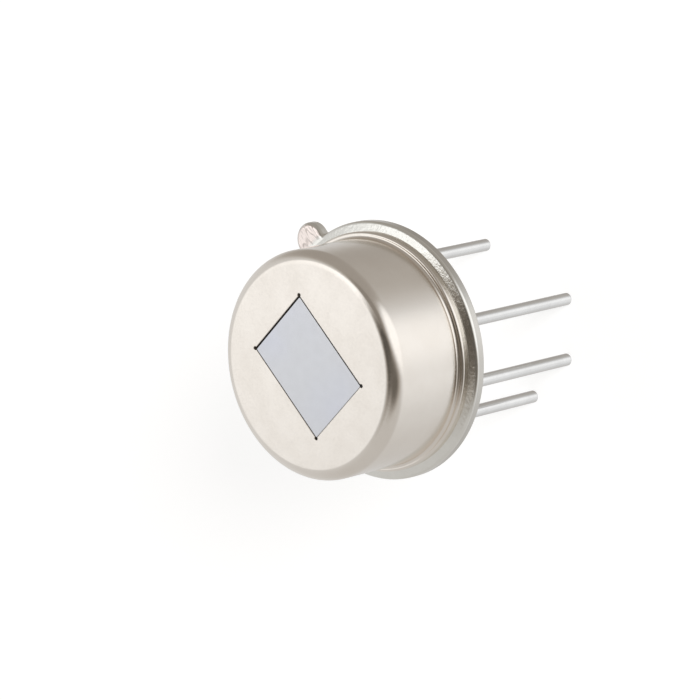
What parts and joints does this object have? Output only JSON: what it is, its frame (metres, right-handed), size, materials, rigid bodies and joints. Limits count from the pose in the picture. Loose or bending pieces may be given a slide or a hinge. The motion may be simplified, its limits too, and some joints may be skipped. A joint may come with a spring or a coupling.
{
  "type": "pir motion sensor",
  "caption": "Infrared motion sensor: round welded metal can with a rectangular filter window, flanged header with an index tab, and wire leads.",
  "frame": {"origin": "centre of the header's flat underside, the face that seats on a circuit board", "axes": "+Z out of the filter window along the optical axis, +X along the window's long side; the index tab points 176.5 degrees round from +X and the leads run along -Z"},
  "size_m": [0.01, 0.0092, 0.0109],
  "materials": {
    "header_plate": "satin nickel plate on steel",
    "can_plate": "satin nickel plate on drawn steel",
    "lead_plate": "smooth plate on wire",
    "filter": "coated silicon, opaque to light",
    "seal_glass": "dark fused glass",
    "filter_adhesive": "cured epoxy",
    "braze": "silver braze",
    "board": "glass-epoxy laminate with green mask",
    "solder": "bright solder",
    "die": "polished silicon",
    "bond_wire": "gold wire",
    "resistor_body": "coated ceramic",
    "capacitor_body": "fired ceramic",
    "terminal": "tinned",
    "rail_ceramic": "fired alumina",
    "element_adhesive": "silver-filled epoxy",
    "element_ceramic": "ground pyroelectric ceramic",
    "strip_metal": "thin dark metal film"
  },
  "bodies": {
    "root": {"header": "header_plate", "cap": "can_plate", "filter_window": "filter", "filter_bond": "filter_adhesive", "lead_1": "lead_plate", "lead_2": "lead_plate", "lead_3": "lead_plate", "lead_4": "lead_plate", "lead_5": "lead_plate", "lead_6": "lead_plate", "glass_seal_1": "seal_glass", "glass_seal_3": "seal_glass", "glass_seal_4": "seal_glass", "glass_seal_5": "seal_glass", "glass_seal_6": "seal_glass", "ground_braze": "braze", "circuit_board": "board", "board_solder": "solder", "signal_chip": "die", "bond_wires": "bond_wire", "chip_resistor": "resistor_body", "chip_capacitor": "capacitor_body", "chip_terminals": "terminal", "element_support_left": "rail_ceramic", "element_support_right": "rail_ceramic", "element_bonds": "element_adhesive", "pyro_element": "element_ceramic", "element_electrodes": "strip_metal"}
  },
  "joints": []
}
